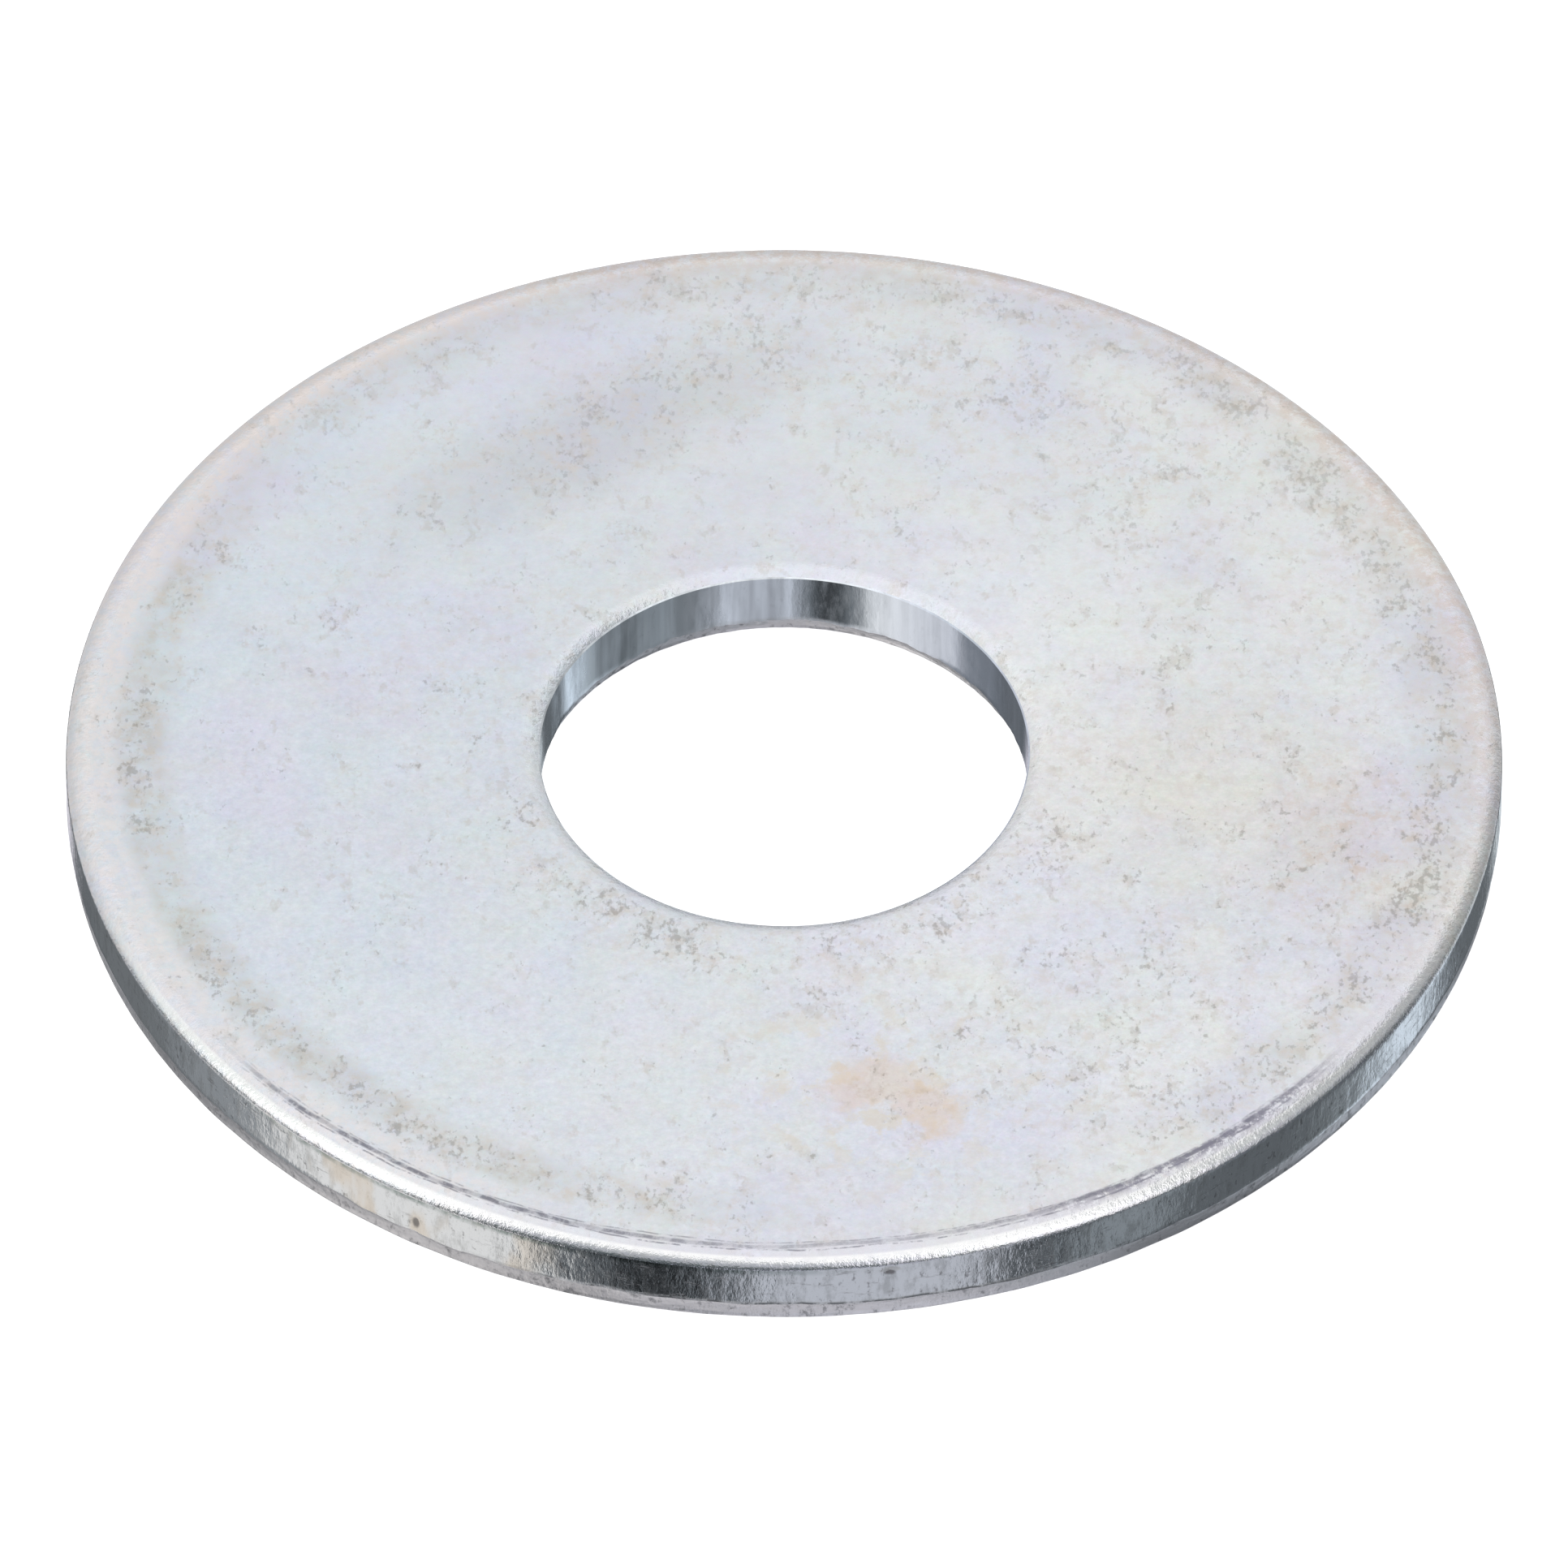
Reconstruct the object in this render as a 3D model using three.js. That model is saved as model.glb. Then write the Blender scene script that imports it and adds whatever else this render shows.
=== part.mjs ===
import * as THREE from 'three';

// Flat washer, large series, blanked and pierced from steel strip in one stroke.
// Millimetres, +Z up. The origin is the centre of the lower face.

// Overall sizes
const outsideDiameter = 50;
const thickness = 2.85;

// The bolt that the washer goes on, and the gap left all round its shank
const boltDiameter = 16;
const boltClearance = 0.5;

// Die roll: the soft shoulder where the tools draw the upper face down before they cut
const rimRollWidth = 0.78;
const rimRollDepth = 0.52;
const boreRollWidth = 0.7;
const boreRollDepth = 0.2;

// Break: the lowest part of each wall tears instead of shearing, and leans away from the cut
const rimBreakHeight = 0.7;
const rimBreakLean = 0.09;
const boreBreakHeight = 0.57;
const boreBreakLean = 0.21;

// Tumbling takes the burr off both lower corners
const cornerBreak = 0.06;

// Fineness of the round shapes
const sidesAround = 120;
const sidesPerRoll = 5;

const rimRadius = outsideDiameter / 2;
const boreRadius = boltDiameter / 2 + boltClearance;
const quarterTurn = Math.PI / 2;

// Quarter ellipse from the top of the rim wall, up and in to the upper face
function rimRoll() {
  const middle = new THREE.Vector2(rimRadius - rimRollWidth, thickness - rimRollDepth);
  const curve = new THREE.EllipseCurve(middle.x, middle.y, rimRollWidth, rimRollDepth, 0, quarterTurn);
  return curve.getPoints(sidesPerRoll);
}

// Quarter ellipse from the upper face, in and down to the top of the bore wall
function boreRoll() {
  const middle = new THREE.Vector2(boreRadius + boreRollWidth, thickness - boreRollDepth);
  const curve = new THREE.EllipseCurve(
    middle.x, middle.y, boreRollWidth, boreRollDepth, quarterTurn, 2 * quarterTurn);
  return curve.getPoints(sidesPerRoll);
}

// Lower face outwards, then up the broken part of the rim wall
function lowerRim() {
  const foot = rimRadius - rimBreakLean;
  return [
    new THREE.Vector2(foot - cornerBreak, 0),
    new THREE.Vector2(foot, cornerBreak),
    new THREE.Vector2(rimRadius, rimBreakHeight),
  ];
}

// Down the broken part of the bore wall to the lower face
function lowerBore() {
  const foot = boreRadius + boreBreakLean;
  return [
    new THREE.Vector2(boreRadius, boreBreakHeight),
    new THREE.Vector2(foot, cornerBreak),
    new THREE.Vector2(foot + cornerBreak, 0),
  ];
}

// The section closes on itself: out along the lower face, up the rim, in over the top, down the bore
function section() {
  const outline = [...lowerRim(), ...rimRoll(), ...boreRoll(), ...lowerBore()];
  return [...outline, outline[0].clone()];
}

const zincPlate = new THREE.MeshStandardMaterial({ color: 0xc9ccd2, roughness: 0.38, metalness: 1 });

const flatWasher = new THREE.Mesh(new THREE.LatheGeometry(section(), sidesAround), zincPlate);
flatWasher.name = 'flat_washer';
flatWasher.rotation.x = quarterTurn; // the lathe turns about Y, and the washer lies flat

const group = new THREE.Group();
group.add(flatWasher);

export default group;
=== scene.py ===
import math
from types import SimpleNamespace

import bmesh
import bpy
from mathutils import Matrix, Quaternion, Vector, noise


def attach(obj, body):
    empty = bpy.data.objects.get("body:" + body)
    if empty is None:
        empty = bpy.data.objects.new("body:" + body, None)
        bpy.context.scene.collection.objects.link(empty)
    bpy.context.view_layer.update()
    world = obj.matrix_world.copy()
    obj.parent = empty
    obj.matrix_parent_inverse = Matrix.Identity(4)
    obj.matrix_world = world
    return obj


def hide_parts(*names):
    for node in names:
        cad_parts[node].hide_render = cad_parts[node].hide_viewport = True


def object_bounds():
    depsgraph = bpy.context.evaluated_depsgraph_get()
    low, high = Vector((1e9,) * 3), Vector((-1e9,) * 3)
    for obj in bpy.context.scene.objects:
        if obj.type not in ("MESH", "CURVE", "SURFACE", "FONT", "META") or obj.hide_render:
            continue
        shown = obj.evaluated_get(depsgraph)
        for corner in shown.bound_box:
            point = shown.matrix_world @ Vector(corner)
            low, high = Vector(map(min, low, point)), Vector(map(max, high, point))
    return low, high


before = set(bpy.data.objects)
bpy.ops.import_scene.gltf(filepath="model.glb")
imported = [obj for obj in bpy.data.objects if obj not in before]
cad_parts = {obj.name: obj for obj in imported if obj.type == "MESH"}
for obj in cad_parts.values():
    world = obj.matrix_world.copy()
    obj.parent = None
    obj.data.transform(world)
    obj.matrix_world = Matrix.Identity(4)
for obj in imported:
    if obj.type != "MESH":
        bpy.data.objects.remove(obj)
cadLow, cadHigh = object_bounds()

mm = 0.001  # sizes below are in millimetres

# What the CAD model fixes: the two diameters and the thickness
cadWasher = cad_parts["flat_washer"]
rimRadius = cadHigh.x / mm
boreRadius = min(math.hypot(v.co.x, v.co.y) for v in cadWasher.data.vertices) / mm
thickness = cadHigh.z / mm
print("frame: rim radius", round(rimRadius, 2), "bore radius", round(boreRadius, 2))

blank = {
    "rimRollWidth": 0.78,     # die roll along the face
    "rimRollDepth": 0.52,     # die roll down the wall
    "boreRollWidth": 0.70,
    "boreRollDepth": 0.20,
    "shoulderWidth": 2.1,     # the face starts to fall away this far inside the roll
    "shoulderDrop": 0.025,
    "faceSink": 0.003,        # keeps the waves of the face under the full thickness
    "stripWave": 0.004,       # waviness left from the rolled strip
    "rimBreakHeight": 0.70,   # the torn part of the wall, measured up from the table
    "rimBreakLean": 0.09,
    "boreBreakHeight": 0.57,
    "boreBreakLean": 0.21,
    "boreOffset": 0.08,       # the hole is punched this far off centre, towards -Y
    "cornerRound": 0.07,
    "lineWander": 0.10,       # how far the torn line wanders up and down
    "lineStep": 0.012,        # the torn metal starts this far behind the sheared wall
    "lineHalfHeight": 0.02,   # half the height over which that step is taken
    "tearDepth": 0.035,       # roughness of the torn metal
    "outOfRound": 0.012,
    "stepsAround": 720,
    "tornSteps": 9,
    "shearedSteps": 9,
    "rollSteps": 16,
    "faceSteps": 34,
    "mouthSteps": 12,
    "undersideSteps": 20,
}

# Unevenness round the ring: waves in about one turn, and a layer that keeps each one different
waves = {
    "lineWander": (26, 3.1),
    "lineRagged": (110, 7.7),
    "lineFrayed": (300, 9.4),
    "rollDepth": (9, 1.3),
    "rollWidth": (7, 2.2),
    "mouthWidth": (6, 9.2),
    "corner": (140, 5.0),
    "outOfRound": (5, 0.4),
}

# Nicks in the rim wall: angle from the front in degrees, height, half width, half height, depth
rimNicks = [
    (8.5, 2.05, 0.24, 0.13, 0.15),
    (-30.5, 1.15, 0.22, 0.34, 0.12),
    (122.0, 1.70, 0.30, 0.18, 0.09),
    (171.0, 1.20, 0.22, 0.32, 0.08),
    (-118.0, 1.90, 0.26, 0.20, 0.08),
]
nickReach = 2.5  # a nick has faded out this many half widths from its middle

zoneSlots = {"face": 0, "sheared": 1, "torn": 2, "corner": 2}


def smooth(low, high, x):
    # 0 below low, 1 above high, with a soft start and end
    t = min(1.0, max(0.0, (x - low) / (high - low)))
    return t * t * (3 - 2 * t)


def ringNoise(angle, perTurn, layer):
    # repeats after one full turn, about -1 to 1
    reach = perTurn / (2 * math.pi)
    return noise.noise(Vector((math.sin(angle) * reach, math.cos(angle) * reach, layer)))


def quarterArc(steps, width, depth):
    # (inset from the wall, drop from the face) along a quarter ellipse, wall first
    turns = [math.pi / 2 * i / steps for i in range(steps + 1)]
    return [(width * (1 - math.cos(t)), depth * (1 - math.sin(t))) for t in turns]


def spread(start, end, count, crowd=1.0):
    # evenly spaced values from start to end; crowd above 1 packs them towards both ends
    values = []
    for i in range(count + 1):
        t = 2 * i / count - 1
        t = math.copysign(abs(t) ** (1 / crowd), t)
        values.append(start + (end - start) * (t + 1) / 2)
    return values


def tornRows(angle, lean, corner, torn):
    # the torn part leans out as it goes up, and is rough
    rows = []
    for i in range(1, blank["tornSteps"]):
        t = i / blank["tornSteps"]
        tear = blank["tearDepth"] * (
            ringNoise(angle, 230, 11 + 3.3 * t) + 0.6 * ringNoise(angle, 600, 31 + 7 * t))
        inset = lean * (1 - t ** 1.4) + 0.01 + abs(tear)
        rows.append((inset, corner + (torn - corner) * t, "torn"))
    return rows


def wallRows(angle, side):
    # one wall from its lower corner up to the foot of the roll: (inset into the metal, height, zone)
    ragged = ringNoise(angle, *waves["lineWander"]) + 0.6 * ringNoise(angle, *waves["lineRagged"])
    ragged += 0.5 * ringNoise(angle, *waves["lineFrayed"])
    torn = blank[side + "BreakHeight"] + blank["lineWander"] * ragged
    lean = blank[side + "BreakLean"]
    top = thickness - blank[side + "RollDepth"] * (1 + 0.10 * ringNoise(angle, *waves["rollDepth"]))
    corner = blank["cornerRound"] * (1 + 0.5 * ringNoise(angle, *waves["corner"]))
    rows = [(lean + corner, 0.0, "corner"), (lean + 0.3 * corner, 0.3 * corner, "corner")]
    rows.append((lean, corner, "torn"))
    rows += tornRows(angle, lean, corner, torn)
    rows.append((blank["lineStep"], torn - blank["lineHalfHeight"], "torn"))
    rows.append((0.0, torn + blank["lineHalfHeight"], "sheared"))
    for height in spread(torn + 2 * blank["lineHalfHeight"], top, blank["shearedSteps"])[1:]:
        rows.append((0.0, height, "sheared"))
    return rows, top, torn


def nickDepth(angle, height):
    # how deep the nicks cut into the rim wall here
    deep = 0.0
    for degrees, level, halfWidth, halfHeight, depth in rimNicks:
        turn = (angle - math.radians(degrees) + math.pi) % (2 * math.pi) - math.pi
        across = turn * rimRadius / halfWidth
        up = (height - level) / halfHeight
        if abs(across) < nickReach and abs(up) < nickReach:
            deep += depth * math.exp(-across * across - up * up)
    return deep


def faceHeight(radius, angle):
    # the upper face: flat, easing down towards the roll, with the faint waviness of rolled strip
    rollStart = rimRadius - blank["rimRollWidth"]
    drop = blank["shoulderDrop"] * smooth(rollStart - blank["shoulderWidth"], rollStart, radius)
    x = radius * math.sin(angle)
    y = -radius * math.cos(angle)
    wave = blank["stripWave"] * noise.noise(Vector((x * 0.12, y * 0.12, 4.0)))
    return thickness - blank["faceSink"] - drop + wave


def upperRows(angle, edge, rimTop, boreTop, wobble):
    # over the top from the rim wall to the bore wall: roll, face, then the softly drawn-in mouth
    rows = []
    width = blank["rimRollWidth"] * (1 + 0.07 * ringNoise(angle, *waves["rollWidth"]))
    joint = rimRadius - width
    top = faceHeight(joint, angle)
    for inset, drop in quarterArc(blank["rollSteps"], width, top - rimTop)[1:-1]:
        rows.append((rimRadius - inset + wobble, top - drop, "face"))
    mouth = edge + blank["boreRollWidth"] * (1 + 0.07 * ringNoise(angle, *waves["mouthWidth"]))
    for radius in spread(joint, mouth, blank["faceSteps"], 1.45):
        rows.append((radius, faceHeight(radius, angle), "face"))
    top = faceHeight(mouth, angle)
    steps = blank["mouthSteps"]
    for i in range(1, steps):
        fall = (i / steps) ** 2 * (top - boreTop)
        rows.append((mouth - (mouth - edge) * i / steps, top - fall, "face"))
    return rows


def sectionAt(angle):
    # the closed outline at one angle: (radius, height, zone), out below, up the rim,
    # in on top, down the bore
    wobble = blank["outOfRound"] * (ringNoise(angle, *waves["outOfRound"]) - 0.6)
    rim, rimTop, rimTear = wallRows(angle, "rim")
    bore, boreTop, boreTear = wallRows(angle + 2.0, "bore")  # turned, so the two walls differ
    edge = boreRadius + blank["boreOffset"] * math.cos(angle)
    below = spread(edge + bore[0][0], rimRadius - rim[0][0], blank["undersideSteps"], 1.3)[1:-1]
    outline = [(radius, 0.0, "face") for radius in below]
    for inset, height, zone in rim:
        outline.append((rimRadius - inset - nickDepth(angle, height) + wobble, height, zone))
    outline += upperRows(angle, edge, rimTop, boreTop, wobble)
    corner = len(outline)
    for inset, height, zone in reversed(bore):
        outline.append((edge + inset, height, zone))
    return outline, corner, rimTear, boreTear


def placeSection(mesh, aboveTear, angle):
    # the points of one section, each told how many millimetres it lies above the torn line
    outline, corner, rimTear, boreTear = sectionAt(angle)
    outward = (math.sin(angle) * mm, -math.cos(angle) * mm)
    middle = (rimRadius + boreRadius) / 2
    points = []
    for radius, height, _ in outline:
        points.append(mesh.verts.new((radius * outward[0], radius * outward[1], height * mm)))
        points[-1][aboveTear] = height - (rimTear if radius > middle else boreTear)
    return points, corner, [zone for _, _, zone in outline]


def joinSections(mesh, here, there, zones, corner):
    # quads between two neighbouring sections, with a sharp edge at the top of the bore
    count = len(zones)
    for k in range(count):
        n = (k + 1) % count
        quad = mesh.faces.new((here[k], there[k], there[n], here[n]))
        quad.smooth = True
        quad.material_index = max(zoneSlots[zones[k]], zoneSlots[zones[n]])
    mesh.edges.get((here[corner], there[corner])).smooth = False


def buildBlank():
    # the stamped ring, one strip of quads for each step round the axis
    mesh = bmesh.new()
    aboveTear = mesh.verts.layers.float.new("aboveTear")
    steps = blank["stepsAround"]
    sections = []
    for i in range(steps):
        points, corner, zones = placeSection(mesh, aboveTear, 2 * math.pi * i / steps)
        sections.append(points)
    for i in range(steps):
        joinSections(mesh, sections[i], sections[(i + 1) % steps], zones, corner)
    data = bpy.data.meshes.new("stampedWasher")
    mesh.to_mesh(data)
    mesh.free()
    piece = bpy.data.objects.new("stamped_washer", data)
    bpy.context.scene.collection.objects.link(piece)
    return piece


# Small helpers for wiring nodes

def feed(socket, source):
    # a socket is linked, a plain value is set
    if isinstance(source, bpy.types.NodeSocket):
        socket.node.id_data.links.new(source, socket)
    else:
        socket.default_value = source


def node(tree, kind, inputs=None, **settings):
    made = tree.nodes.new("ShaderNode" + kind)
    for name, value in settings.items():
        setattr(made, name, value)
    for name, source in (inputs or {}).items():
        feed(made.inputs[name], source)
    return made


def maths(tree, operation, a, b=0.0, c=0.0):
    return node(tree, "Math", {0: a, 1: b, 2: c}, operation=operation).outputs[0]


def minus(tree, a, b):
    return maths(tree, "SUBTRACT", a, b)


def larger(tree, a, b):
    return maths(tree, "MAXIMUM", a, b)


def linear(tree, value, factor, shift):
    # value times factor, plus shift
    return maths(tree, "MULTIPLY_ADD", value, factor, shift)


def times(tree, *factors):
    product = factors[0]
    for factor in factors[1:]:
        product = maths(tree, "MULTIPLY", product, factor)
    return product


def total(tree, *terms):
    result = terms[0]
    for term in terms[1:]:
        result = maths(tree, "ADD", result, term)
    return result


def vectorMaths(tree, operation, a, b=(0, 0, 0)):
    return node(tree, "VectorMath", {0: a, 1: b}, operation=operation).outputs[0]


def scaled(tree, vector, factor):
    return node(tree, "VectorMath", {0: vector, "Scale": factor}, operation="SCALE").outputs[0]


def parts(tree, vector):
    return node(tree, "SeparateXYZ", {"Vector": vector}).outputs


def remap(tree, value, low, high, toLow=0.0, toHigh=1.0, soft=True):
    kind = "SMOOTHSTEP" if soft else "LINEAR"
    made = node(tree, "MapRange", {
        "Value": value, "From Min": low, "From Max": high, "To Min": toLow, "To Max": toHigh,
    }, interpolation_type=kind)
    return made.outputs["Result"]


def window(tree, value, start, full, stillFull, end):
    # 1 between full and stillFull, fading to 0 at start and at end
    rising = remap(tree, value, start, full)
    return times(tree, rising, remap(tree, value, stillFull, end, 1.0, 0.0))


def cloud(tree, vector, scale, detail=3.0, roughness=0.55, distortion=0.0):
    made = node(tree, "TexNoise", {
        "Vector": vector, "Scale": scale, "Detail": detail,
        "Roughness": roughness, "Distortion": distortion,
    })
    return made.outputs[0]


def stretchedCloud(tree, vector, stretch, scale, detail=3.0, roughness=0.55):
    # a factor below 1 draws the pattern out along that axis
    return cloud(tree, vectorMaths(tree, "MULTIPLY", vector, stretch), scale, detail, roughness)


def warped(tree, place, perMm, reach):
    # the same place pushed about by a noise, so that round spots turn ragged
    push = node(tree, "TexNoise", {
        "Vector": place, "Scale": perMm, "Detail": 4.0, "Roughness": 0.65}).outputs[1]
    push = vectorMaths(tree, "SUBTRACT", push, (0.5, 0.5, 0.5))
    return vectorMaths(tree, "ADD", place, scaled(tree, push, reach))


def blend(tree, factor, under, over):
    made = node(tree, "Mix", data_type="RGBA", clamp_factor=True)
    feed(made.inputs[0], factor)
    feed(made.inputs[6], under)
    feed(made.inputs[7], over)
    return made.outputs[2]


def newGroup(name, inputs, outputs):
    tree = bpy.data.node_groups.new(name, "ShaderNodeTree")
    for label, kind, value in inputs:
        socket = tree.interface.new_socket(label, in_out="INPUT", socket_type="NodeSocket" + kind)
        if value is not None:
            socket.default_value = value
    for label, kind in outputs:
        tree.interface.new_socket(label, in_out="OUTPUT", socket_type="NodeSocket" + kind)
    given = tree.nodes.new("NodeGroupInput").outputs
    return tree, given, tree.nodes.new("NodeGroupOutput").inputs


def useGroup(tree, group, inputs):
    made = tree.nodes.new("ShaderNodeGroup")
    made.node_tree = group
    for name, source in inputs.items():
        feed(made.inputs[name], source)
    return made.outputs


def newMaterial(name):
    material = bpy.data.materials.new(name)
    material.use_nodes = True
    material.node_tree.nodes.clear()
    return material, material.node_tree


def bareMetal(tree, colour, roughness, height, strength, depth):
    # every surface of the washer is metal; only colour, gloss and relief differ
    bump = node(tree, "Bump", {"Height": height, "Strength": strength, "Distance": depth * mm})
    shader = node(tree, "BsdfPrincipled", {
        "Base Color": colour, "Metallic": 1.0, "Roughness": roughness, "Normal": bump.outputs[0]})
    node(tree, "OutputMaterial", {"Surface": shader.outputs[0]})


def surfaceFields(tree):
    # where we are on the washer, in the terms that the layers below are laid out in
    place = scaled(tree, node(tree, "TexCoord").outputs["Object"], 1 / mm)
    flat = vectorMaths(tree, "MULTIPLY", place, (1, 1, 0))
    radius = node(tree, "VectorMath", {0: flat}, operation="LENGTH").outputs["Value"]
    broad = node(tree, "TexNoise", {"Vector": place, "Scale": 0.14, "Detail": 2.0}).outputs[1]
    return SimpleNamespace(
        place=place,
        radius=radius,
        across=parts(tree, place),
        toward=parts(tree, vectorMaths(tree, "NORMALIZE", flat)),  # the way out from the axis
        broad=parts(tree, broad),
        outside=remap(tree, radius, 12.0, 20.0),  # 0 in the bore, 1 at the rim
    )


# Effects that the face uses at more than one size

def zincCloudGroup():
    # plating seen close: a tone that varies about 0, with the same cloudiness in two hues
    tree, given, made = newGroup(
        "zincCloud",
        [("Vector", "Vector", None), ("Clouds per mm", "Float", 0.6), ("Detail", "Float", 4.0),
         ("Tone", "Float", 0.2), ("Warmth", "Float", 0.15), ("Pinkness", "Float", 0.1)],
        [("Tint", "Vector"), ("Height", "Float")])
    clouds = node(tree, "TexNoise", {
        "Vector": given["Vector"], "Scale": given["Clouds per mm"],
        "Detail": given["Detail"], "Roughness": 0.75})
    lift = minus(tree, clouds.outputs[0], 0.5)
    hues = parts(tree, vectorMaths(tree, "SUBTRACT", clouds.outputs[1], (0.5, 0.5, 0.5)))
    grey = scaled(tree, (1.0, 1.0, 1.0), times(tree, lift, given["Tone"]))
    warm = scaled(tree, (0.33, 0.33, -0.67), times(tree, hues[1], given["Warmth"]))
    pink = scaled(tree, (0.5, -0.5, 0.0), times(tree, hues[2], given["Pinkness"]))
    feed(made["Tint"], vectorMaths(tree, "ADD", grey, vectorMaths(tree, "ADD", warm, pink)))
    feed(made["Height"], clouds.outputs[0])
    return tree


def pitsGroup():
    # small dark pits, strung together in patches
    tree, given, made = newGroup(
        "picklingPits",
        [("Vector", "Vector", None), ("Pits per mm", "Float", 3.4), ("Amount", "Float", 0.5)],
        [("Mask", "Float")])
    dots = cloud(tree, given["Vector"], given["Pits per mm"], 3.0, 0.62)
    chains = cloud(tree, given["Vector"], 0.8, 3.0, 0.6, 0.8)
    level = linear(tree, given["Amount"], -0.15, 0.725)
    level = minus(tree, level, times(tree, minus(tree, chains, 0.5), 0.6))
    feed(made["Mask"], remap(tree, minus(tree, dots, level), -0.05, 0.11))
    return tree


zincCloud = zincCloudGroup()
pits = pitsGroup()

faceFinish = {
    "silver": (0.706, 0.734, 0.772, 1.0),
    "coolSide": (0.668, 0.724, 0.786, 1.0),   # towards -X
    "warmSide": (0.756, 0.774, 0.786, 1.0),   # towards +X
    "violet": (0.682, 0.696, 0.794, 1.0),
    "yellow": (0.735, 0.730, 0.690, 1.0),
    "mottle": (0.662, 0.598, 0.530, 1.0),
    "olive": (0.480, 0.448, 0.390, 1.0),
    "faintPit": (0.500, 0.455, 0.400, 1.0),
    "pit": (0.250, 0.230, 0.200, 1.0),
    "stain": (0.760, 0.565, 0.410, 1.0),
    "stainCore": (0.500, 0.370, 0.280, 1.0),
    "beige": (0.730, 0.670, 0.560, 1.0),
    "rust": (0.620, 0.450, 0.385, 1.0),
    "smudge": (0.430, 0.430, 0.470, 1.0),
    "rimTint": (0.650, 0.530, 0.460, 1.0),
    "rimPink": (0.825, 0.772, 0.756, 1.0),
    "rolledGrey": (0.230, 0.225, 0.285, 1.0),
    # lilac is painted shade and crest a painted highlight, both along the front of the roll
    "lilacShade": (0.690, 0.680, 0.735, 1.0),
    "crest": (0.930, 0.930, 0.925, 1.0),
    "grimeAndShade": (0.110, 0.110, 0.150, 1.0),
    "byHole": (0.06, 0.06, 0.05),             # added to the tint beside the hole
    "paintedFrontLight": (0.03, 0.03, 0.03),            # painted light, added to the tint at the front
    "roughness": 0.40,
    "rollRoughness": 0.17,
    "pitRoughness": 0.15,
    "relief": 0.3,
    "reliefDepth": 0.03,
}

# Patches on the face: centre x and y, half length, half width, turn in degrees
faceSpots = {
    "yellow": (13.0, -2.0, 9.0, 7.0, 0),
    "beigeHaze": (3.5, -16.5, 9.0, 7.0, 0),
    "stain": (3.2, -16.5, 2.3, 1.8, 0),
    "stainTail": (4.5, -17.5, 2.2, 2.0, -30),
    "stainGap": (3.6, -18.3, 1.4, 1.2, 0),
    "smudge": (-6.8, 15.2, 12.5, 3.7, 33),
    "rustBloom": (19.6, -4.6, 3.6, 5.8, 0),
    "pitsBehind": (9.0, 16.5, 13.0, 6.5, -25),
    "pitsInFront": (14.5, -13.0, 9.0, 6.0, 45),
    "pitCluster": (6.2, -14.1, 2.6, 0.9, 45),
}

# Rings on the face: the radii where each starts, is full, is still full, and ends
faceRings = {
    "mouth": (8.8, 9.4, 9.8, 12.5),
    "dull": (20.9, 22.3, 22.7, 23.6),
    "scuffed": (23.98, 24.16, 24.34, 24.66),
    # the last ring is the painted highlight on the crest of the roll
    "crest": (24.60, 24.70, 24.82, 24.92),
}

# Scored lines beside the roll: radius, half width, how broken they are;
# the side lines also have a strength
mainLine = (24.20, 0.14, 0.6)
sideLines = [(24.38, 0.05, 1.0, 0.8), (24.04, 0.05, 1.0, 0.6)]


def spot(tree, place, name):
    # 1 in the middle of a patch on the upper face, falling to 0 at its edge
    x, y, halfLength, halfWidth, turn = faceSpots[name]
    mapped = node(tree, "Mapping", {
        "Vector": place, "Location": (x, y, thickness),
        "Rotation": (0, 0, math.radians(turn)), "Scale": (halfLength, halfWidth, 2.0),
    }, vector_type="TEXTURE").outputs[0]
    return node(tree, "TexGradient", {"Vector": mapped}, gradient_type="SPHERICAL").outputs[1]


def faceFields(tree):
    # the zones of the face; its rings lie further out at the back and on the +X side
    at = surfaceFields(tree)
    at.ragged = warped(tree, at.place, 0.55, 3.0)
    at.fine = warped(tree, at.place, 1.1, 1.8)
    at.mottle = remap(tree, cloud(tree, at.place, 1.4, 5.0, 0.7), 0.46, 0.70)
    pushed = minus(tree, at.radius, times(tree, remap(tree, at.toward[0], -0.6, 0.6), 0.45))
    at.pushed = minus(tree, pushed, times(tree, remap(tree, at.toward[1], 0.4, 0.9), 0.5))
    at.dull = window(tree, at.pushed, *faceRings["dull"])
    at.leftSide = times(
        tree, remap(tree, at.toward[0], 0.15, -0.4), remap(tree, at.toward[1], 0.7, 0.3))
    at.rightSide = remap(tree, at.toward[0], 0.45, 0.85)
    at.behind = remap(tree, at.toward[1], 0.55, 0.9)
    at.front = remap(tree, at.toward[1], -0.28, -0.60)
    at.scored = remap(tree, at.toward[1], -0.58, -0.74)
    at.rolled = remap(tree, at.radius, 23.9, 24.3)
    at.smudge = spot(tree, at.ragged, "smudge")
    at.rust = spot(tree, at.fine, "rustBloom")
    return at


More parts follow.
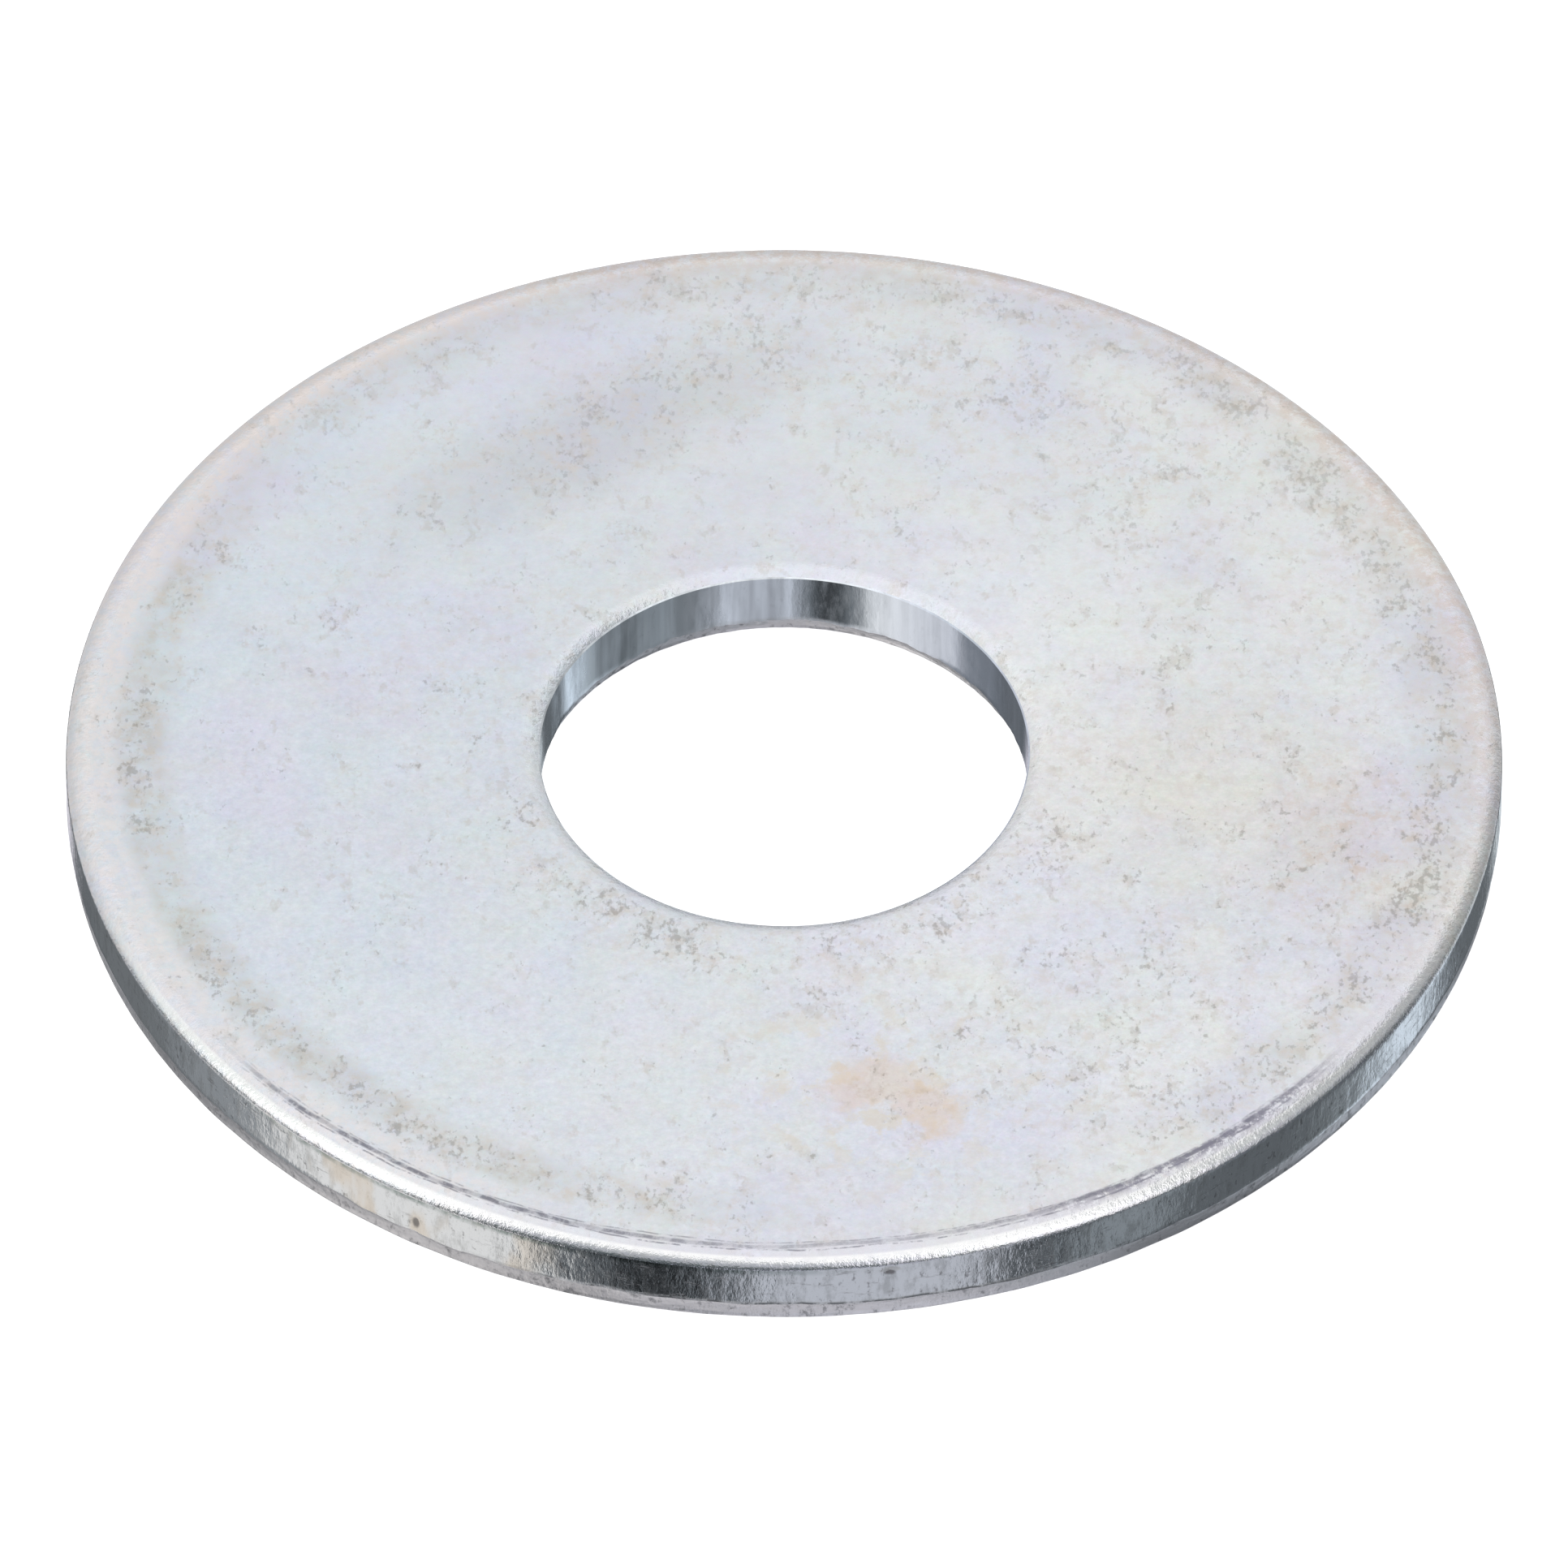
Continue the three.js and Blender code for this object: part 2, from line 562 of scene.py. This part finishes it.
def broadTints(tree, at):
    # cooler at -X and warmer at +X, with violet and yellow patches, lighter beside the hole towards +X,
    # and painted light towards the front
    look = faceFinish
    cool = remap(tree, at.across[0], -22.0, 2.0, 1.0, 0.0)
    colour = blend(tree, cool, look["silver"], look["coolSide"])
    colour = blend(tree, remap(tree, at.across[0], -2.0, 20.0), colour, look["warmSide"])
    colour = blend(tree, remap(tree, at.broad[0], 0.48, 0.66, 0.0, 0.7), colour, look["violet"])
    yellow = spot(tree, warped(tree, at.place, 0.4, 4.0), "yellow")
    colour = blend(tree, times(tree, yellow, 0.9), colour, look["yellow"])
    near = times(
        tree, remap(tree, at.radius, 9.0, 16.5, 1.0, 0.0), remap(tree, at.across[0], -4.0, 9.0))
    colour = vectorMaths(tree, "ADD", colour, scaled(tree, look["byHole"], near))
    # painted light: the face is lighter towards the front
    front = remap(tree, at.across[1], -4.0, -17.0)
    return vectorMaths(tree, "ADD", colour, scaled(tree, look["paintedFrontLight"], front))


def addClouds(tree, at, colour):
    # soft clouds of the plating and its fine grain, which is stronger at the front
    clouds = useGroup(tree, zincCloud, {
        "Vector": at.place, "Clouds per mm": 0.42, "Detail": 5.0,
        "Tone": 0.11, "Warmth": 0.19, "Pinkness": 0.12})
    grain = useGroup(tree, zincCloud, {
        "Vector": at.place, "Clouds per mm": 4.0, "Detail": 3.0,
        "Tone": remap(tree, at.across[1], -5.0, 18.0, 0.25, 0.10), "Warmth": 0.07, "Pinkness": 0.14})
    colour = vectorMaths(tree, "ADD", colour, clouds["Tint"])
    return vectorMaths(tree, "ADD", colour, grain["Tint"]), clouds["Height"], grain["Height"]


def dullRim(tree, at, colour):
    # a dull ring where the face starts to fall; beyond it the rim is warmer, mostly at the back
    look = faceFinish
    worn = remap(tree, cloud(tree, at.place, 0.35, 4.0, 0.6), 0.36, 0.62, 0.35, 1.0)
    crumbly = remap(tree, cloud(tree, at.place, 2.0, 5.0, 0.75), 0.40, 0.62, 0.35, 1.15)
    band = total(
        tree, at.leftSide, times(tree, at.rightSide, 0.55), times(tree, at.behind, 0.45), 0.12)
    colour = blend(tree, times(tree, at.dull, band, worn, crumbly, 0.50), colour, look["olive"])
    speckle = remap(tree, cloud(tree, at.place, 2.2, 5.0, 0.75), 0.40, 0.60, 0.25, 1.0)
    outer = times(
        tree, remap(tree, at.pushed, 22.5, 23.8), remap(tree, at.toward[1], -0.75, 0.6, 0.22, 1.0))
    warmth = times(tree, outer, speckle, linear(tree, at.leftSide, -0.32, 0.66))
    colour = blend(tree, warmth, colour, look["rimTint"])
    pink = times(
        tree, remap(tree, at.pushed, 22.9, 23.7), remap(tree, at.toward[0], -0.25, -0.50))
    return blend(tree, times(tree, pink, speckle, 0.60), colour, look["rimPink"])


def stains(tree, at, colour):
    # haze and a stain near the front, a smudge behind the hole, rust bloom at the +X rim
    look = faceFinish
    patchy = remap(tree, cloud(tree, at.fine, 0.7, 3.0), 0.5, 0.66)
    haze = times(tree, spot(tree, at.ragged, "beigeHaze"), patchy)
    colour = blend(tree, times(tree, haze, 0.8), colour, look["beige"])
    stain = larger(tree, spot(tree, at.fine, "stain"), spot(tree, at.fine, "stainTail"))
    stain = minus(tree, stain, spot(tree, at.fine, "stainGap"))
    colour = blend(tree, remap(tree, stain, 0.0, 0.5, 0.0, 0.38), colour, look["stain"])
    core = times(tree, remap(tree, stain, 0.35, 0.7), at.mottle, 0.40)
    colour = blend(tree, core, colour, look["stainCore"])
    colour = blend(tree, remap(tree, at.smudge, 0.0, 0.8, 0.0, 0.29), colour, look["smudge"])
    bloom = times(tree, at.rust, remap(tree, at.mottle, 0, 1, 0.35, 1.0), 0.62)
    return blend(tree, bloom, colour, look["rust"])


def pitCrowd(tree, at):
    # pits crowd in the dull ring, the smudge, by the hole and over the whole +X side
    mouth = times(
        tree, window(tree, at.radius, *faceRings["mouth"]), remap(tree, at.toward[1], 0.1, -0.5))
    sides = total(
        tree, times(tree, at.rightSide, 0.75), times(tree, at.leftSide, 0.80),
        times(tree, at.behind, 0.4))
    return total(
        tree, remap(tree, at.across[0], -16.0, 16.0, 0.22, 0.44),
        times(tree, at.dull, sides),
        times(tree, mouth, 0.60),
        times(tree, at.smudge, 0.75),
        times(tree, at.rust, 0.35),
        times(tree, spot(tree, at.ragged, "pitsBehind"), 0.55),
        times(tree, spot(tree, at.ragged, "pitsInFront"), 0.30),
        spot(tree, at.fine, "pitCluster"),
        linear(tree, at.broad[2], 1.2, -0.60))


def pitting(tree, at, colour):
    # faint pits, soft mottle and dark pits, each thicker where they crowd
    look = faceFinish
    crowd = pitCrowd(tree, at)
    drawnOut = vectorMaths(tree, "MULTIPLY", at.place, (1.0, 0.72, 1.0))  # a little longer along Y
    amount = remap(tree, crowd, -0.4, 1.0, 0.30, 1.05, soft=False)
    faint = useGroup(tree, pits, {"Vector": drawnOut, "Pits per mm": 2.3, "Amount": amount})["Mask"]
    colour = blend(tree, times(tree, faint, 0.30), colour, look["faintPit"])
    soft = times(tree, remap(tree, crowd, -0.1, 0.9, 0.16, 0.85), at.mottle)
    colour = blend(tree, times(tree, soft, 0.65), colour, look["mottle"])
    dots = useGroup(tree, pits, {"Vector": drawnOut, "Pits per mm": 5.0, "Amount": crowd})["Mask"]
    depth = remap(tree, at.across[1], -4.0, 17.0, 0.36, 0.20)  # the back half is cleaner
    return blend(tree, times(tree, dots, depth), colour, look["pit"]), dots


def brightRoll(tree, at, colour):
    # along the front, painted shade turns the roll lilac grey and a painted highlight brightens its
    # crest
    look = faceFinish
    brushed = remap(tree, cloud(tree, at.place, 1.5, 5.0, 0.75), 0.36, 0.62, 0.3, 1.0)
    central = remap(tree, at.toward[0], -0.60, -0.25, 0.25, 0.75)
    colour = blend(tree, times(tree, at.rolled, at.front, brushed, central), colour, look["lilacShade"])
    # painted highlight along the crest of the roll, at the front
    crest = times(tree, window(tree, at.radius, *faceRings["crest"]), at.front)
    crest = times(tree, crest, remap(tree, brushed, 0.3, 1.0, 0.55, 0.85))
    return blend(tree, crest, colour, look["crest"])


def hairline(tree, at, radius, halfWidth, broken):
    # a thin ring scored at one radius, fainter in places
    place = vectorMaths(tree, "ADD", at.place, (0, 0, 40.0 * radius))  # each line wanders on its own
    wander = linear(tree, cloud(tree, place, 0.35, 3.0, 0.6), 0.30, radius - 0.15)
    off = maths(tree, "ABSOLUTE", minus(tree, at.radius, wander))
    line = remap(tree, off, 0.3 * halfWidth, halfWidth, 1.0, 0.0)
    gaps = remap(tree, cloud(tree, place, 1.6, 4.0, 0.7), 0.40, 0.60, 1.0 - broken, 1.0)
    return times(tree, line, gaps)


def scoreFront(tree, at, colour):
    # scored lines along the front where the roll begins, scuffed beside them towards +X
    look = faceFinish
    offMiddle = maths(tree, "ABSOLUTE", minus(tree, at.toward[0], 0.1))
    ends = remap(tree, offMiddle, 0.0, 0.45, 0.5, 1.0)
    lines = times(tree, hairline(tree, at, *mainLine), ends)
    for radius, halfWidth, broken, strength in sideLines:
        lines = larger(tree, lines, times(tree, hairline(tree, at, radius, halfWidth, broken), strength))
    lines = times(tree, lines, at.scored)
    colour = blend(tree, times(tree, lines, 0.78), colour, look["grimeAndShade"])
    scuffed = times(
        tree, window(tree, at.radius, *faceRings["scuffed"]), at.scored,
        remap(tree, at.toward[0], 0.25, 0.55),
        remap(tree, cloud(tree, at.place, 2.2, 5.0, 0.8), 0.43, 0.54))
    return blend(tree, times(tree, scuffed, 0.8), colour, look["rolledGrey"]), lines


def faceMaterial():
    # zinc over pickled strip: bluish silver, clouded, pitted towards the rim, burnished at its edges
    look = faceFinish
    material, tree = newMaterial("platedFace")
    at = faceFields(tree)
    colour, clouds, grain = addClouds(tree, at, broadTints(tree, at))
    colour = stains(tree, at, dullRim(tree, at, colour))
    colour, dots = pitting(tree, at, colour)
    colour, lines = scoreFront(tree, at, brightRoll(tree, at, colour))
    burnished = total(tree, at.rolled, remap(tree, at.radius, 8.8, 9.3, 1.0, 0.0))
    roughness = linear(tree, dots, look["pitRoughness"], look["roughness"])
    roughness = linear(tree, burnished, look["rollRoughness"] - look["roughness"], roughness)
    height = total(tree, clouds, times(tree, dots, -0.5), times(tree, lines, -1.0))
    height = total(tree, height, times(tree, grain, linear(tree, burnished, 3.6, 0.3)))
    bareMetal(tree, colour, roughness, height, look["relief"], look["reliefDepth"])
    return material


wallFinish = {
    "bright": (0.710, 0.725, 0.745, 1.0),
    "dull": (0.540, 0.550, 0.560, 1.0),
    # dark scratches and flecks, and also the painted shade in the nicks
    "scratchAndShade": (0.150, 0.140, 0.140, 1.0),
    "tan": (0.670, 0.600, 0.520, 1.0),
    "boreSilver": (0.850, 0.900, 0.950, 1.0),
    "boreShade": (0.540, 0.580, 0.680, 1.0),   # painted shade towards +X
    "lipShade": (0.200, 0.250, 0.235, 1.0),
    "torn": (0.800, 0.780, 0.805, 1.0),
    "tornDark": (0.400, 0.395, 0.415, 1.0),
    # painted shade just above the torn line at the front
    "grimeAndShade": (0.090, 0.100, 0.110, 1.0),
    "lipHeight": 0.24,                         # the dark lip hangs this far below the roll
    "reliefDepth": 0.04,
    "tornRelief": 0.6,
    "tornReliefDepth": 0.05,
}

# Painted shade at the two front nicks: degrees from the front, height, half width, half height
nickShades = [(8.5, 2.02, 0.30, 0.17), (-30.5, 1.15, 0.22, 0.38)]


def wallSpot(tree, place, degrees, level, halfWidth, halfHeight):
    # 1 in the middle of a small patch of the rim wall, falling to 0 at its edge
    turn = math.radians(degrees)
    centre = (rimRadius * math.sin(turn), -rimRadius * math.cos(turn), level)
    mapped = node(tree, "Mapping", {
        "Vector": place, "Location": centre,
        "Rotation": (0, 0, turn), "Scale": (halfWidth, 1.0, halfHeight),
    }, vector_type="TEXTURE").outputs[0]
    return node(tree, "TexGradient", {"Vector": mapped}, gradient_type="SPHERICAL").outputs[1]


def boreColour(tree, at):
    # the bore is cleaner and streaked from top to bottom; painted shade darkens it towards +X, in a
    # narrow streak just to the -X side of its middle, and at its far -X side
    look = wallFinish
    streaks = stretchedCloud(tree, at.place, (1, 1, 0.06), 1.3, 3.0, 0.6)
    colour = blend(
        tree, remap(tree, at.toward[0], 0.1, 0.75), look["boreSilver"], look["boreShade"])
    darkest = remap(tree, at.toward[0], -0.2, 0.3, 0.72, 0.90)
    colour = scaled(tree, colour, remap(tree, streaks, 0.36, 0.64, darkest, 1.10))
    dulled = window(tree, at.toward[0], -0.18, -0.12, -0.03, 0.04)
    colour = scaled(tree, colour, remap(tree, dulled, 0, 1, 1.0, 0.72))
    # painted shade at the far -X side of the bore
    return scaled(tree, colour, remap(tree, at.toward[0], -0.86, -0.92, 1.0, 0.78))


def wallWear(tree, at, colour):
    # scuffs run round the rim wall, flecks run up it, and the left of its front is tanned
    look = wallFinish
    scuffs = stretchedCloud(tree, at.place, (0.35, 0.35, 1.6), 2.4, 4.0, 0.7)
    scuffs = times(tree, remap(tree, scuffs, 0.58, 0.72, 0.0, 0.42), at.outside)
    colour = blend(tree, scuffs, colour, look["scratchAndShade"])
    flecks = stretchedCloud(tree, at.place, (1, 1, 0.55), 4.6, 3.0, 0.6)
    flecks = times(
        tree, remap(tree, flecks, 0.60, 0.72), remap(tree, at.outside, 0, 1, 0.12, 0.60))
    colour = blend(tree, flecks, colour, look["scratchAndShade"])
    tan = remap(tree, stretchedCloud(tree, at.place, (1, 1, 0.4), 0.6, 3.0), 0.48, 0.64, 0.0, 0.75)
    leftFront = times(
        tree, remap(tree, at.toward[0], -0.80, -0.60), remap(tree, at.toward[0], -0.25, -0.40),
        at.outside)
    return blend(tree, times(tree, tan, leftFront), colour, look["tan"]), scuffs


def wallShadows(tree, at, colour):
    # painted shade in the nicks, along the torn line at the front, and under the lip of the roll
    look = wallFinish
    nick = wallSpot(tree, at.place, *nickShades[0])
    for shade in nickShades[1:]:
        nick = larger(tree, nick, wallSpot(tree, at.place, *shade))
    # painted shade in the two front nicks
    colour = blend(tree, remap(tree, nick, 0.15, 0.6, 0.0, 0.85), colour, look["scratchAndShade"])
    aboveTear = node(tree, "Attribute", attribute_name="aboveTear").outputs["Fac"]
    # painted shade just above the torn line at the front
    tear = times(
        tree, remap(tree, aboveTear, 0.06, 0.16, 1.0, 0.0), remap(tree, at.toward[1], -0.90, -0.97),
        remap(tree, cloud(tree, at.place, 0.9, 4.0, 0.7), 0.44, 0.54))
    colour = blend(tree, times(tree, tear, 0.8), colour, look["grimeAndShade"])
    rollFoot = thickness - blank["rimRollDepth"]
    lip = times(
        tree, remap(tree, at.across[2], rollFoot - look["lipHeight"], rollFoot), at.outside,
        remap(tree, cloud(tree, at.place, 1.1, 4.0, 0.7), 0.38, 0.60, 0.3, 1.0),
        remap(tree, at.toward[0], 0.15, -0.10), remap(tree, at.toward[1], -0.60, -0.75))
    return blend(tree, times(tree, lip, 0.8), colour, look["lipShade"])


def shearedMaterial():
    # burnished by the die: bright, with drag marks that run up the wall
    look = wallFinish
    material, tree = newMaterial("shearedWall")
    at = surfaceFields(tree)
    marks = stretchedCloud(tree, at.place, (1, 1, 0.35), 2.4, 4.0, 0.7)
    worn = times(tree, remap(tree, marks, 0.45, 0.68), remap(tree, at.outside, 0, 1, 0.35, 1.0))
    colour = blend(tree, worn, look["bright"], look["dull"])
    inBore = remap(tree, at.outside, 0, 1, 0.9, 0.0)
    colour, scuffs = wallWear(tree, at, blend(tree, inBore, colour, boreColour(tree, at)))
    colour = wallShadows(tree, at, colour)
    lumps = times(tree, cloud(tree, at.place, 1.3, 3.0, 0.6), at.outside, 0.9)
    height = total(tree, marks, lumps, times(tree, scuffs, -0.4))
    hazy = times(
        tree, remap(tree, at.outside, 1, 0), remap(tree, at.toward[0], -0.15, -0.40),
        remap(tree, at.toward[0], -0.90, -0.78))
    roughness = total(
        tree, remap(tree, marks, 0.35, 0.70, 0.11, 0.22),
        remap(tree, at.outside, 0, 1, 0.05, 0.0), times(tree, hazy, 0.13))
    relief = remap(tree, at.outside, 0, 1, 0.13, 0.45)
    bareMetal(tree, colour, roughness, height, relief, look["reliefDepth"])
    return material


def tornTone(tree, at):
    # the torn metal is darker at the rim than in the bore, but lighter than in the bore at the rim's
    # front and near its two ends
    clean = total(
        tree, window(tree, at.toward[0], -0.30, -0.16, 0.40, 0.52),
        times(tree, window(tree, at.toward[0], 0.68, 0.80, 0.90, 0.95), 0.7),
        remap(tree, at.toward[0], -0.86, -0.93, 0.0, 0.7))
    dirty = remap(tree, at.outside, 0, 1, 1.0, 0.80)
    return linear(tree, times(tree, clean, at.outside), 0.40, dirty)


def tornMaterial():
    # the broken part of the cut: matt and coarse
    look = wallFinish
    material, tree = newMaterial("tornWall")
    at = surfaceFields(tree)
    rip = stretchedCloud(tree, at.place, (1, 1, 0.6), 3.0, 4.0, 0.7)
    colour = blend(tree, remap(tree, rip, 0.52, 0.70), look["torn"], look["tornDark"])
    colour = scaled(tree, colour, tornTone(tree, at))
    roughness = remap(tree, rip, 0.3, 0.7, 0.32, 0.48)
    bareMetal(tree, colour, roughness, rip, look["tornRelief"], look["tornReliefDepth"])
    return material


washer = buildBlank()
for finish in (faceMaterial(), shearedMaterial(), tornMaterial()):
    washer.data.materials.append(finish)
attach(washer, "root")
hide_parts("flat_washer")
print("washer:", len(washer.data.polygons), "faces")

studio = {
    "lensMm": 990.0,
    "sensorMm": 36.0,
    "clip": (0.05, 20.0),   # nearest and farthest that the camera sees, in metres
    "distance": 60 * rimRadius,
    "elevation": 45.27,
    "aimDown": 1.32,        # the picture's middle lies this far below the middle of the upper face
    "tilt": 0.124,
    "tableSize": 0.9,       # in metres
    "tableDrop": 0.01,
    "tableWhite": 0.8,
    "tableRoughness": 0.9,
    "tableGlow": 0.75,
    "overhead": 1.10,
    "backLow": 0.78,
    "backHigh": 1.22,
    "sideGap": 118.0,       # the backdrop is thin round this angle
}

# Where the studio changes from one thing to the next, in degrees above level: start and end
rises = {
    "under": (-57.0, -50.0),
    "tableEdge": (-20.0, -12.0),
    "high": (-9.0, 3.0),
    "highLift": (3.0, 20.0),
    "upper": (4.0, 26.0),
    "backdrop": (-36.0, -24.0),
    "backdropLift": (10.0, 80.0),
    "overhead": (52.0, 64.0),
}

# Cards round the table, seen only in the metal.
# Middle and half width in degrees from the front, softness of the edge, brightness, tint
lowCards = [
    (-131, 17, 8, 0.19, (0.93, 1.0, 1.05)),
    (-179, 15, 7, 0.90, (1.0, 0.97, 1.06)),
    (179, 15, 7, 0.90, (0.92, 1.0, 1.06)),
    (-103, 13, 11, 0.33, (0.93, 0.99, 1.04)),
    (-65, 26, 6, 0.95, (1.0, 0.99, 0.97)),
    (-21, 6, 4, 0.018, (0.9, 1.0, 1.1)),
    (14, 20, 5, 0.66, (0.94, 0.97, 1.06)),
    (41, 3, 4, 0.07, (0.9, 1.0, 1.1)),
    (57, 8, 5, 0.32, (0.9, 1.0, 1.08)),
    (104, 6, 5, 0.26, (0.9, 1.0, 1.06)),
    (120, 9, 4, 0.95, (0.88, 0.98, 1.08)),
]
highCards = [
    (-112, 36, 20, 0.95, (0.97, 1.02, 0.99)),
    (-66, 20, 8, 1.60, (1.0, 1.0, 0.98)),
    (43, 25, 14, 1.55, (1.0, 1.0, 1.0)),
    (71, 12, 10, 0.62, (0.97, 1.0, 1.0)),
    (122, 22, 14, 0.30, (0.95, 1.0, 1.0)),
]
underCards = [(0, 52, 34, 0.50, (1.0, 1.0, 1.04))]
lowShade = (0.132, 0.146, 0.158, 1.0)
tableEdge = (0.10, 0.12, 0.125, 1.0)    # a dark strip all round, level with the table
highShade = (0.22, 0.25, 0.245, 1.0)
upperShade = (0.54, 0.56, 0.57, 1.0)
white = (1.0, 1.0, 1.0, 1.0)


def cardGroup():
    # one card hung in front of whatever is behind it
    tree, given, made = newGroup(
        "studioCard",
        [("Angle", "Float", 0.0), ("Middle", "Float", 0.0), ("Half Width", "Float", 20.0),
         ("Edge", "Float", 5.0), ("Card", "Color", white), ("Behind", "Color", (0, 0, 0, 1))],
        [("Color", "Color")])
    off = maths(tree, "ABSOLUTE", minus(tree, given["Angle"], given["Middle"]))
    inside = minus(tree, given["Half Width"], off)
    mask = remap(tree, maths(tree, "DIVIDE", inside, given["Edge"]), -0.5, 0.5)
    feed(made["Color"], blend(tree, mask, given["Behind"], given["Card"]))
    return tree


def hangCards(tree, card, angle, cards, shade):
    colour = shade
    for middle, half, edge, bright, tint in cards:
        colour = useGroup(tree, card, {
            "Angle": angle, "Middle": middle, "Half Width": half, "Edge": edge,
            "Card": (*(bright * t for t in tint), 1.0), "Behind": colour})["Color"]
    return colour


def cardRing(tree, angle, rise):
    # low cards, then the dark edge of the table, then high cards
    card = cardGroup()
    shade = blend(tree, remap(tree, rise, *rises["upper"]), highShade, upperShade)
    low = hangCards(tree, card, angle, lowCards, lowShade)
    high = hangCards(tree, card, angle, highCards, shade)
    under = hangCards(tree, card, angle, underCards, low)
    low = blend(tree, remap(tree, rise, *rises["under"], 0.75, 0.0), low, under)
    high = scaled(tree, high, remap(tree, rise, *rises["highLift"], 0.72, 1.0))
    colour = blend(tree, remap(tree, rise, *rises["tableEdge"]), low, tableEdge)
    return blend(tree, remap(tree, rise, *rises["high"]), colour, high)


def backdrop(tree, angle, rise, back, colour):
    # bright paper behind the table, and a bright ceiling
    paper = remap(
        tree, rise, *rises["backdropLift"], studio["backLow"], studio["backHigh"], soft=False)
    paper = node(tree, "CombineColor", {0: paper, 1: paper, 2: paper}).outputs[0]
    fromGap = maths(tree, "ABSOLUTE", minus(tree, angle, studio["sideGap"]))
    cover = times(
        tree, remap(tree, back, 0.1, 0.45), remap(tree, rise, *rises["backdrop"]),
        remap(tree, fromGap, 10.0, 26.0, 0.45, 1.0))
    colour = blend(tree, cover, colour, paper)
    ceiling = (studio["overhead"], studio["overhead"], studio["overhead"], 1.0)
    return blend(tree, remap(tree, rise, *rises["overhead"]), colour, ceiling)


def buildLight():
    # a soft dome with cards for the metal to mirror, and plain white for the camera
    world = bpy.data.worlds.new("studio")
    bpy.context.scene.world = world
    world.use_nodes = True
    tree = world.node_tree
    tree.nodes.clear()
    way = parts(tree, node(tree, "TexCoord").outputs["Generated"])
    angle = maths(tree, "ARCTAN2", way[0], times(tree, way[1], -1.0))
    angle = maths(tree, "DEGREES", angle)
    rise = maths(tree, "DEGREES", maths(tree, "ARCSINE", way[2]))
    colour = backdrop(tree, angle, rise, way[1], cardRing(tree, angle, rise))
    seen = node(tree, "LightPath").outputs["Is Camera Ray"]
    background = node(tree, "Background", {"Color": blend(tree, seen, colour, white), "Strength": 1.0})
    node(tree, "OutputWorld", {"Surface": background.outputs[0]})


def buildFloor():
    # a white light table; reflections pass through it to the cards beyond its edge
    half = studio["tableSize"] / 2
    corners = [(-half, -half, 0), (half, -half, 0), (half, half, 0), (-half, half, 0)]
    data = bpy.data.meshes.new("lightTable")
    data.from_pydata(corners, [], [(0, 1, 2, 3)])
    floor = bpy.data.objects.new("light_table", data)
    bpy.context.scene.collection.objects.link(floor)
    floor.location.z = -studio["tableDrop"] * mm
    floor.visible_glossy = False
    floor.visible_shadow = False
    material = bpy.data.materials.new("whiteTable")
    material.use_nodes = True
    shader = material.node_tree.nodes["Principled BSDF"].inputs
    tone = studio["tableWhite"]
    shader["Base Color"].default_value = (tone, tone, tone, 1.0)
    shader["Roughness"].default_value = studio["tableRoughness"]
    shader["Emission Color"].default_value = white
    shader["Emission Strength"].default_value = studio["tableGlow"]
    data.materials.append(material)


def buildCamera():
    rise = math.radians(studio["elevation"])
    back = Vector((0, -math.cos(rise), math.sin(rise)))
    up = Vector((0, math.sin(rise), math.cos(rise)))
    aim = Vector((0, 0, thickness)) - up * studio["aimDown"]
    data = bpy.data.cameras.new("camera")
    data.lens = studio["lensMm"]
    data.sensor_width = studio["sensorMm"]
    data.clip_start, data.clip_end = studio["clip"]
    camera = bpy.data.objects.new("camera", data)
    bpy.context.scene.collection.objects.link(camera)
    camera.rotation_mode = "QUATERNION"
    level = (-back).to_track_quat("-Z", "Y")
    camera.rotation_quaternion = level @ Quaternion((0, 0, 1), math.radians(studio["tilt"]))
    camera.location = (aim + back * studio["distance"]) * mm
    bpy.context.scene.camera = camera


buildLight()
buildFloor()
buildCamera()
scene = bpy.context.scene
scene.view_settings.view_transform = "Standard"
print("studio ready")
